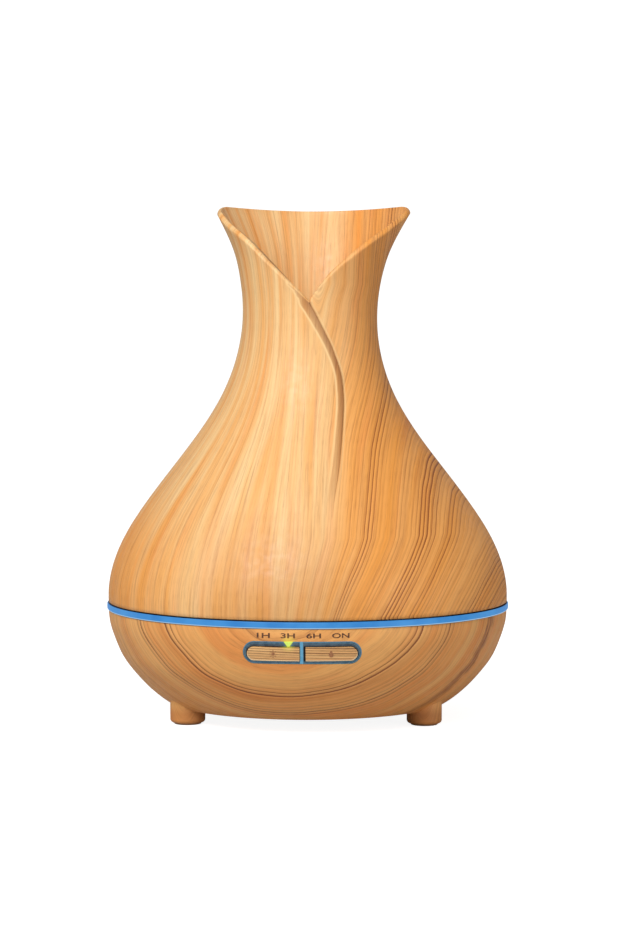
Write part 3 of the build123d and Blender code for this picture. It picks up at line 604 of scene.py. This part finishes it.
def light_ring():
    """Translucent band lit from inside, a little brighter over each lamp, with a painted highlight along
    its lower edge.
    """
    shader = Shader("light_ring")
    x, y, z = shader.parts(shader.place)
    turn = shader.math("ARCTAN2", y, x)
    lamps = shader.math("COSINE", shader.math("MULTIPLY", turn, 12.0))
    haze = shader.noise(shader.place, 0.12, 3.0)
    glow = shader.mix(shader.span(haze, 0.3, 0.7), tone(46, 122, 188), tone(60, 138, 200))
    glow = shader.mix(shader.span(lamps, -1.0, 1.0, 0.0, 0.1), glow, tone(110, 180, 235))
    lower_edge_highlight = shader.span(z, RING_LOW_EDGE + 0.5, RING_LOW_EDGE + 0.2)
    glow = shader.mix(lower_edge_highlight, glow, tone(170, 205, 225))
    radius = shader.vector("LENGTH", shader.join(x, y, 0.0))
    outer_face = shader.span(radius, RING_FACE - 0.5, RING_FACE - 0.2)
    shader.set(
        Base_Color=tone(20, 60, 104),
        Roughness=shader.span(haze, 0.3, 0.7, 0.3, 0.42),
        Specular_IOR_Level=0.3,
        Emission_Color=glow,
    )
    shader.feed(shader.surface.inputs["Emission Strength"], shader.math("MULTIPLY", outer_face, 0.9))
    shader.bump(haze, 0.02)
    return shader.material


def bezel():
    """Smoky blue translucent plastic, with painted highlights that glow along its outer edge, in a line
    along its middle band and on the divider, and the lit lamp's glow near it.
    """
    shader = Shader("bezel")
    x, _, z = shader.parts(shader.place)
    reach = panel_reach(shader)
    haze = shader.noise(shader.place, 0.5, 3.0)
    # Painted highlights: glowing lines along the outer edge, along the middle of the band and on the
    # divider.
    edge = shader.span(reach, BEZEL_RADIUS - 0.35, BEZEL_RADIUS - 0.1)
    ridge_highlight = shader.span(shader.math("ABSOLUTE", shader.math("SUBTRACT", reach, 3.72)), 0.22, 0.05)
    divider = shader.span(shader.math("ABSOLUTE", shader.math("ADD", x, 0.2)), 0.8, 0.5)
    lit = shader.math("MAXIMUM", shader.math("MULTIPLY", edge, 0.55), divider)
    lit = shader.math("MAXIMUM", lit, shader.math("MULTIPLY", ridge_highlight, 0.3))
    lamp = shader.vector("DISTANCE", shader.join(x, 0.0, z), (LIT_LAMP_X, 0.0, LIT_LAMP_Z))
    glow_round = shader.span(lamp, 2.6, 0.6, 0.0, 0.3)
    aside = shader.math("ABSOLUTE", shader.math("SUBTRACT", x, LIT_LAMP_X))
    flank = shader.math("MULTIPLY_ADD", shader.math("SUBTRACT", z, LIT_LAMP_Z), 0.7, 1.4)
    wedge = shader.span(shader.math("SUBTRACT", aside, flank), 0.25, -0.25)
    near = shader.math("MAXIMUM", glow_round, wedge)
    body = shader.mix(shader.span(haze, 0.3, 0.7), tone(48, 60, 72), tone(72, 86, 96))
    glow = shader.mix(shader.span(near, 0.05, 0.35), tone(96, 180, 220), tone(206, 232, 70))
    shader.set(
        Base_Color=body,
        Roughness=shader.span(haze, 0.3, 0.7, 0.22, 0.34),
        Emission_Color=glow,
    )
    strength = shader.math("MAXIMUM", shader.math("MULTIPLY", lit, 0.6), near)
    shader.feed(shader.surface.inputs["Emission Strength"], strength)
    shader.bump(haze, 0.02)
    return shader.material


def ink(name, full, worn_colour):
    """Brown screen print, thin enough for the ground to show a little."""
    shader = Shader(name)
    worn = shader.noise(shader.place, 2.5, 3.0)
    shader.set(
        Base_Color=shader.mix(shader.span(worn, 0.4, 0.75), full, worn_colour),
        Roughness=shader.span(worn, 0.3, 0.7, 0.45, 0.6),
    )
    shader.bump(worn, 0.01)
    return shader.material


def lamp_lens(name, colour, strength):
    shader = Shader(name)
    haze = shader.noise(shader.place, 1.5, 2.0)
    shader.set(
        Base_Color=shader.mix(haze, colour, tone(240, 240, 230)),
        Roughness=shader.span(haze, 0.3, 0.7, 0.2, 0.35),
        Emission_Color=colour,
        Emission_Strength=strength,
    )
    shader.bump(haze, 0.01)
    return shader.material


def slot_materials():
    """Every material slot of the record, with the material that it is drawn in."""
    return {
        "wood_print_cover": cover_wood(),
        "wood_print_base": base_wood(),
        "wood_print_button": button_wood(),
        "light_ring": light_ring(),
        "bezel": bezel(),
        "white_plastic": moulded("white_plastic", tone(236, 236, 230), 0.38),
        "beige_plastic": moulded("beige_plastic", tone(214, 188, 150), 0.5),
        "black_plastic": moulded("black_plastic", tone(38, 38, 40), 0.45),
        "header_plastic": moulded("header_plastic", tone(232, 226, 206), 0.42),
        "rubber": moulded("rubber", tone(150, 112, 76), 0.75, grain=1.6),
        "silicone": moulded("silicone", tone(214, 210, 202), 0.6),
        "foam": moulded("foam", tone(64, 64, 66), 0.9, grain=2.5, depth=0.15),
        "chip": moulded("chip", tone(34, 34, 36), 0.55),
        "ferrite": moulded("ferrite", tone(64, 62, 62), 0.7, grain=1.4),
        "lead_insulation": moulded("lead_insulation", tone(186, 44, 40), 0.4),
        "circuit_board": circuit_board(),
        "steel": metal("steel", tone(200, 202, 205)),
        "brass": metal("brass", tone(214, 178, 96)),
        "disc_metal": metal("disc_metal", tone(206, 198, 180), 0.25),
        "copper": metal("copper", tone(206, 124, 82), 0.35),
        "aluminium": metal("aluminium", tone(206, 208, 210), 0.38),
        "led": lamp_lens("led", tone(120, 180, 240), 1.5),
        "indicator": lamp_lens("indicator", tone(190, 226, 70), 1.5),
    }


def dress_nodes(materials):
    """Gives every CAD node the material of its slot."""
    for node in NODES.values():
        for slot in node.material_slots:
            slot.material = materials[slot.material.name.split(".")[0]]


# ---------------------------------------------------------------- cover
def cover_profile():
    """Outer radius of the cover by height, read from the back of the CAD cover."""
    tree = surface_of("cover_shell")
    low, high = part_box("cover_shell")
    points = []
    for height in PROFILE_HEIGHTS:
        hit = tree.ray_cast(Vector((0.0, 0.2, height * MM)), Vector((0, -1, 0)))
        points.append((height, hit[0].y / MM))
    first, second = points[0], points[1]
    slope = (second[1] - first[1]) / (second[0] - first[0])
    bottom = low.z / MM
    points.insert(0, (bottom, first[1] + slope * (bottom - first[0])))
    top = high.z / MM
    slope = (points[-1][1] - points[-2][1]) / (points[-1][0] - points[-2][0])
    points.append((top, points[-1][1] + slope * (top - points[-1][0])))
    return through(points), bottom, top


def column_places():
    """Places of the columns round the sheet, from 0 to 1, crowded at the crease."""
    reach = 0.16
    right, middle, left = 60, 150, 80
    places = [reach * (i / right) ** 2.2 for i in range(right)]
    places += [reach + (1 - 2 * reach) * i / middle for i in range(middle)]
    places += [1 - reach * (i / left) ** 2.4 for i in range(left, 0, -1)]
    return places


def cover_mesh():
    """The whole cover as one closed skin: a sheet whose two ends meet in the crease of the lap."""
    radius_at, bottom, top = cover_profile()
    rim_at = through(RIM)
    crease_at = through(CREASE)
    step_at = through(STEP)
    width_at = through(EDGE)

    def crease_azimuth(z):
        return math.asin(min(max(crease_at(z) / radius_at(z), -1.0), 1.0))

    def lift(place, z, radius):
        """How far the lap lifts the skin off the plain profile at a place round the sheet."""
        step = step_at(z)
        width = width_at(z)
        arc = (1 - place) * 2 * math.pi * radius
        if place > 0 and arc < width:
            return step * (LIP_SHARE + (1 - LIP_SHARE) * (1 - (1 - arc / width) ** 1.5))
        if arc < width + EDGE_FADE:
            return step * (1 - smoothstep(0, EDGE_FADE, arc - width))
        beyond = place * 2 * math.pi * radius
        return -TUCK_DEPTH * step * math.exp(-((beyond / TUCK_WIDTH) ** 2))

    def right_petal(place):
        return max(1 - place / SLANT_REACH, 0.0)

    def lap_paint(place, z, radius):
        """(shade, light, right petal): painted shade darkens the edge down to the crease and just past it,
        and painted highlight lines run along its top and beside the crease; the right petal is 1 at the
        crease and fades away round the side."""
        share = min(step_at(z) / 1.2, 1.0)
        width = width_at(z)
        arc = (1 - place) * 2 * math.pi * radius
        beyond = place * 2 * math.pi * radius
        shade = 0.0
        if place == 0.0 or beyond < CREASE_SHADE:
            shade = 0.75 * (1 - beyond / CREASE_SHADE)
        elif arc < width:
            shade = 0.3 + 0.3 * (1 - arc / width)
        near_line = math.exp(-(((arc - width - 0.3) / 0.45) ** 2))
        far_line = 0.7 * math.exp(-(((beyond - 1.2) / 0.4) ** 2))
        light = min(share * (near_line + far_line) * 0.9, 1.0)
        return share * shade, light, right_petal(place)

    def point(place, z, inset):
        radius = radius_at(z) + FLARE * smoothstep(FLARE_START, top, z)
        slope = radius_at(z + 0.5) - radius_at(z - 0.5)
        length = math.hypot(1.0, slope)
        outward, upward = 1.0 / length, -slope / length
        shift = lift(place, z, radius) if inset < WALL else 0.0
        r = radius + (shift - inset) * outward
        height = z + (shift - inset) * upward
        azimuth = crease_azimuth(z) + 2 * math.pi * place
        lean = LEAN * (max(z - LEAN_START, 0.0) / (top - LEAN_START)) ** 1.6
        return Vector((r * math.sin(azimuth) + lean, -r * math.cos(azimuth), height))

    rows = 150
    round_steps = 8

    def row_height(j, start, crown):
        """Height of a row. The rows lie a little closer together towards the mouth."""
        return start + (crown - start) * (j / rows) ** 0.9

    columns = []
    paints = []
    for place in column_places():
        turn = math.degrees(crease_azimuth(top) + 2 * math.pi * place)
        rim = rim_at(turn if turn >= RIM[0][0] else turn + 360)
        crown = rim - WALL / 2
        loop = []
        for j in range(rows + 1):
            z = row_height(j, bottom + OUTER_START, crown)
            loop.append(point(place, z, 0.0))
            paints.append(lap_paint(place, z, radius_at(z)))
        for k in range(1, round_steps):
            swing = math.pi * k / round_steps
            here = point(place, crown, WALL / 2 * (1 - math.cos(swing)))
            loop.append(here + Vector((0, 0, WALL / 2 * math.sin(swing))))
        for j in range(rows, -1, -1):
            loop.append(point(place, row_height(j, bottom + INNER_START, crown), WALL))
        azimuth = crease_azimuth(bottom) + 2 * math.pi * place
        for r, z in SPIGOT:
            loop.append(Vector((r * math.sin(azimuth), -r * math.cos(azimuth), z)))
        columns.append(loop)
        paints += [(0.0, 0.0, right_petal(place))] * (len(loop) - rows - 1)

    count = len(columns[0])
    vertices = [tuple(p * MM) for loop in columns for p in loop]
    faces = []
    for i in range(len(columns)):
        after = (i + 1) % len(columns)
        for j in range(count):
            above = (j + 1) % count
            faces.append((i * count + j, after * count + j, after * count + above, i * count + above))
    mesh = bpy.data.meshes.new("cover_skin")
    mesh.from_pydata(vertices, [], faces)
    for i, name in enumerate(("lap_shade", "lap_highlight", "right_petal")):
        values = mesh.attributes.new(name, "FLOAT", "POINT")
        values.data.foreach_set("value", [paint[i] for paint in paints])
    return mesh, rows


def build_cover(material):
    """Puts the skin in place of the plain CAD cover, with a hard edge down the crease."""
    mesh, rows = cover_mesh()
    cover = add_object("cover_skin", mesh, "cover", material)
    edit = bmesh.new()
    edit.from_mesh(mesh)
    bmesh.ops.recalc_face_normals(edit, faces=edit.faces)
    edit.verts.ensure_lookup_table()
    for j in range(rows):
        edge = edit.edges.get((edit.verts[j], edit.verts[j + 1]))
        if edge is not None and edit.verts[j].co.z > HARD_CREASE_START * MM:
            edge.smooth = False
    edit.to_mesh(mesh)
    edit.free()
    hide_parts("cover_shell")


# ---------------------------------------------------------------- printed marks
def drape(mesh, tree, lift_mm):
    """Lays a flat (x, z) mesh on the front of a surface, lift_mm proud of it."""
    for vertex in mesh.vertices:
        start = Vector((vertex.co.x, -0.1, vertex.co.z))
        hit = tree.ray_cast(start, Vector((0, 1, 0)))
        vertex.co = hit[0] + hit[1] * lift_mm * MM


def printed(name, mesh, tree, body, material):
    """A thin printed film from a flat mesh."""
    edit = bmesh.new()
    edit.from_mesh(mesh)
    bmesh.ops.triangulate(edit, faces=edit.faces)
    long_edges = [e for e in edit.edges if e.calc_length() > FILM_EDGE * MM]
    bmesh.ops.subdivide_edges(edit, edges=long_edges, cuts=2)
    bmesh.ops.triangulate(edit, faces=edit.faces)
    edit.to_mesh(mesh)
    edit.free()
    drape(mesh, tree, FILM_GAP)
    piece = add_object(name, mesh, body, material, smooth=False)
    film = piece.modifiers.new("film", "SOLIDIFY")
    film.thickness = FILM_THICKNESS * MM


def timer_mark(words, left, right, tree, material):
    """A timer mark stretched to fill the place between left and right on the base."""
    curve = bpy.data.curves.new("mark_" + words, "FONT")
    curve.body = words
    curve.offset = 0.018
    holder = bpy.data.objects.new("mark_holder", curve)
    bpy.context.scene.collection.objects.link(holder)
    bpy.context.view_layer.update()
    mesh = bpy.data.meshes.new_from_object(holder.evaluated_get(bpy.context.evaluated_depsgraph_get()))
    bpy.data.objects.remove(holder)
    xs = [v.co.x for v in mesh.vertices]
    ys = [v.co.y for v in mesh.vertices]
    for vertex in mesh.vertices:
        across = (vertex.co.x - min(xs)) / (max(xs) - min(xs))
        up = (vertex.co.y - min(ys)) / (max(ys) - min(ys))
        x = left + (right - left) * across
        z = MARK_BASE + (MARK_TOP - MARK_BASE) * up
        vertex.co = Vector((x, 0.0, z)) * MM
    printed("timer_mark_" + words, mesh, tree, "housing", material)


def flat_mesh(name, polygons):
    """Mesh of flat polygons given as lists of (x, z)."""
    vertices = []
    faces = []
    for polygon in polygons:
        faces.append(tuple(range(len(vertices), len(vertices) + len(polygon))))
        vertices += [(x * MM, 0.0, z * MM) for x, z in polygon]
    mesh = bpy.data.meshes.new(name)
    mesh.from_pydata(vertices, [], faces)
    return mesh


def circle(x, z, radius, steps=28):
    return [
        (x + radius * math.cos(2 * math.pi * i / steps), z + radius * math.sin(2 * math.pi * i / steps))
        for i in range(steps)
    ]


def sun_icon(x, z):
    """A disc with eight rays."""
    shapes = [circle(x, z, 0.65)]
    for i in range(8):
        turn = math.pi * i / 4
        along = Vector((math.cos(turn), math.sin(turn)))
        side = Vector((-along.y, along.x)) * 0.14
        centre = Vector((x, z))
        near, far = centre + along * 0.95, centre + along * 1.6
        shapes.append([tuple(near - side), tuple(far - side), tuple(far + side), tuple(near + side)])
    return flat_mesh("sun_icon", shapes)


def drop_icon(x, z):
    """A drop: a round foot drawn up to a point."""
    radius = 0.95
    outline = []
    for i in range(25):
        turn = math.radians(-210 + 240 * i / 24)
        outline.append((x + radius * math.cos(turn), z - 0.35 + radius * math.sin(turn)))
    outline.append((x, z + 1.6))
    return flat_mesh("drop_icon", [outline])


def build_marks():
    """The timer marks on the base and the icons on the buttons."""
    shell = surface_of("base_shell")
    dark = ink("mark_ink", tone(72, 40, 22), tone(116, 72, 42))
    faint = ink("icon_ink", tone(150, 98, 62), tone(176, 122, 80))
    for words, (left, right) in MARKS.items():
        timer_mark(words, left, right, shell, dark)
    for icon, button, body in (
        (sun_icon, "light_button", "light_key"),
        (drop_icon, "mist_button", "mist_key"),
    ):
        low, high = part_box(button)
        middle = (low + high) / 2 / MM
        mesh = icon(middle.x, middle.z)
        printed(body + "_icon", mesh, surface_of(button), body, faint)


# ---------------------------------------------------------------- studio
def build_camera():
    """Front camera, fitted to the object's outlines."""
    turn = math.radians(CAMERA_AZIMUTH)
    back = Vector((math.sin(turn), -math.cos(turn), 0.0))
    right = Vector((math.cos(turn), math.sin(turn), 0.0))
    data = bpy.data.cameras.new("camera")
    data.lens = CAMERA_LENS_MM
    data.sensor_width = CAMERA_SENSOR_MM
    camera = bpy.data.objects.new("camera", data)
    place = back * CAMERA_DISTANCE + right * CAMERA_SIDESTEP + Vector((0, 0, CAMERA_HEIGHT))
    camera.location = place * MM
    camera.rotation_euler = (math.radians(90 - CAMERA_PITCH), 0.0, turn)
    data.clip_start = 0.05
    data.clip_end = 20.0
    bpy.context.scene.collection.objects.link(camera)
    bpy.context.scene.camera = camera


def area_light(name, place, aim, size, power):
    data = bpy.data.lights.new(name, "AREA")
    data.shape = "RECTANGLE"
    data.size, data.size_y = size
    data.energy = power
    lamp = bpy.data.objects.new(name, data)
    lamp.location = place
    lamp.rotation_euler = (Vector(aim) - Vector(place)).to_track_quat("-Z", "Y").to_euler()
    bpy.context.scene.collection.objects.link(lamp)


def stage_material(name, glow, bounce):
    """Pale matte stage: glow is its own light, bounce how much of the room's light it returns."""
    shader = Shader(name)
    cloud = shader.noise(shader.place, 0.01, 3.0)
    dim = tuple(c * 0.98 for c in bounce[:3]) + (1.0,)
    shader.set(
        Base_Color=shader.mix(cloud, bounce, dim),
        Roughness=0.9,
        Specular_IOR_Level=0.0,
        Emission_Color=(1.0, 1.0, 1.0, 1.0),
        Emission_Strength=glow,
    )
    return shader.material


def stage_plane(name, material, seen, level):
    """Large floor, level metres up, that either only the camera sees or only the light meets."""
    corners = [(x * STAGE_HALF, y * STAGE_HALF, level) for x, y in ((-1, -1), (1, -1), (1, 1), (-1, 1))]
    mesh = bpy.data.meshes.new(name)
    mesh.from_pydata(corners, [], [(0, 1, 2, 3)])
    mesh.materials.append(material)
    plane = bpy.data.objects.new(name, mesh)
    bpy.context.scene.collection.objects.link(plane)
    set_sight(plane, seen)


def set_sight(thing, seen):
    """Shows a thing to the camera only, or to everything but the camera."""
    thing.visible_camera = seen
    for ray in ("diffuse", "glossy", "transmission", "shadow"):
        setattr(thing, "visible_" + ray, not seen)


def build_backdrop():
    """White dome round the stage that only the camera sees."""
    edit = bmesh.new()
    bmesh.ops.create_uvsphere(edit, u_segments=48, v_segments=24, radius=DOME_RADIUS)
    mesh = bpy.data.meshes.new("backdrop")
    edit.to_mesh(mesh)
    edit.free()
    mesh.materials.append(stage_material("backdrop", 1.1, (0.0, 0.0, 0.0, 1.0)))
    dome = bpy.data.objects.new("backdrop", mesh)
    bpy.context.scene.collection.objects.link(dome)
    set_sight(dome, True)


def build_studio():
    scene = bpy.context.scene
    scene.view_settings.view_transform = "Standard"
    world = bpy.data.worlds.new("studio")
    scene.world = world
    world.use_nodes = True
    sky = world.node_tree.nodes["Background"]
    sky.inputs["Color"].default_value = (1.0, 1.0, 1.0, 1.0)
    sky.inputs["Strength"].default_value = SKY
    aim = (0.0, 0.0, 0.1)
    area_light("key", (-0.52, -1.2, 1.15), aim, (0.8, 0.8), 26.0)
    area_light("fill", (1.3, -0.9, 0.25), aim, (0.9, 0.9), 6.0)
    stage_plane("floor", stage_material("floor", 0.9, (0.5, 0.5, 0.5, 1.0)), True, -0.0001)
    bounce = stage_material("floor_bounce", 0.0, (0.55, 0.55, 0.55, 1.0))
    stage_plane("floor_bounce", bounce, False, -0.001)
    build_backdrop()


build_camera()
build_studio()
MATERIALS = slot_materials()
dress_nodes(MATERIALS)
build_cover(MATERIALS["wood_print_cover"])
build_marks()
